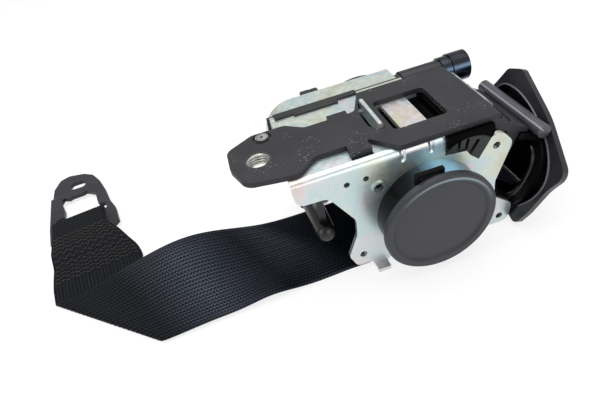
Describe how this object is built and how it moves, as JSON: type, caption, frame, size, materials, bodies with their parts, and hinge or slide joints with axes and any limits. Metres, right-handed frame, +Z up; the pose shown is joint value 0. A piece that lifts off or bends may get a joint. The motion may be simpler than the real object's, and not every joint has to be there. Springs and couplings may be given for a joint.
{
  "type": "seat belt retractor",
  "caption": "Vehicle seat belt retractor with mounting bracket, pretensioner, webbing guide, folded belt webbing and a slotted anchor plate.",
  "frame": {"origin": "centre of the threaded mounting hole, on the mounting bracket's top face", "axes": "+Z up along the mounting hole's axis, +X along the bracket towards the belt guide, the spool turns about a line along Y"},
  "size_m": [0.26, 0.1715, 0.067],
  "materials": {
    "zinc": "yellow passivated zinc plate",
    "zinc_nut": "zinc plate",
    "rivet_zinc": "bright",
    "bracket_black": "satin",
    "anchor_black": "satin",
    "cap_plastic": "fine grain",
    "black_plastic": "matte",
    "guide_plastic": "smooth",
    "socket_plastic": "matte",
    "tube_black": "semi gloss",
    "generator_steel": "black, semi gloss",
    "spring_steel": "blued",
    "bar_steel": "machined",
    "cast_alloy": "as cast",
    "webbing": "woven polyester"
  },
  "bodies": {
    "retractor": {"frame": "zinc", "mounting_bracket": "bracket_black", "weld_nut": "zinc_nut", "corner_rivet": "rivet_zinc", "spring_cover": "cap_plastic", "spring_base": "black_plastic", "return_spring": "spring_steel", "mechanism_tray": "black_plastic", "pretensioner_housing": "zinc", "mechanism_cover": "black_plastic", "pretensioner_tube": "tube_black", "gas_generator": "generator_steel", "igniter_socket": "socket_plastic", "guide_bezel": "black_plastic", "guide_funnel": "guide_plastic", "guide_bar": "guide_plastic", "guide_arm": "black_plastic", "webbing_inlet": "black_plastic", "edge_guard": "guide_plastic", "webbing_outlet": "webbing", "webbing_strap": "webbing", "webbing_tail": "webbing", "sensor_cup": "black_plastic", "cover_bush": "black_plastic"},
    "spool": {"spool": "cast_alloy", "torsion_bar": "bar_steel", "webbing_roll": "webbing", "spring_arbor": "black_plastic", "locking_head": "cast_alloy", "lock_gear": "black_plastic", "drive_wheel": "cast_alloy"},
    "pawl": {"lock_pawl": "bar_steel"},
    "flywheel": {"inertia_disc": "bar_steel"},
    "piston": {"drive_piston": "black_plastic", "drive_balls": "bar_steel"},
    "lever": {"sensor_lever": "black_plastic"},
    "ball": {"sensor_ball": "bar_steel"},
    "anchor": {"anchor_plate": "anchor_black"}
  },
  "joints": [
    {"name": "spool_spin", "type": "hinge", "parent": "retractor", "child": "spool", "pos_m": [0.064, 0.0073, -0.0355], "axis": [0, 1, 0], "continuous": true},
    {"name": "pawl_swing", "type": "hinge", "parent": "spool", "child": "pawl", "pos_m": [0.0556, 0.034, -0.0251], "axis": [0, -1, 0], "range_deg": [0, 18]},
    {"name": "flywheel_lag", "type": "hinge", "parent": "spool", "child": "flywheel", "pos_m": [0.064, 0.054, -0.0355], "axis": [0, 1, 0], "range_deg": [-10, 10]},
    {"name": "piston_drive", "type": "slide", "parent": "retractor", "child": "piston", "axis": [-1, 0, 0], "range_m": [0, 0.005]},
    {"name": "ball_roll", "type": "slide", "parent": "retractor", "child": "ball", "axis": [1, 0, 0], "range_m": [0, 0.0004]},
    {"name": "lever_lift", "type": "hinge", "parent": "retractor", "child": "lever", "pos_m": [0.0734, 0.0535, -0.05042], "axis": [0, 1, 0], "range_deg": [0, 3]},
    {"name": "anchor_tilt", "type": "hinge", "parent": "retractor", "child": "anchor", "pos_m": [-0.10407, 0.07539, -0.06115], "axis": [0.9857, 0.1685, 0], "range_deg": [0, 5]}
  ],
  "couplings": [
    {"joint": "lever_lift", "follows": "ball_roll", "rad_per_m": 130.9}
  ]
}
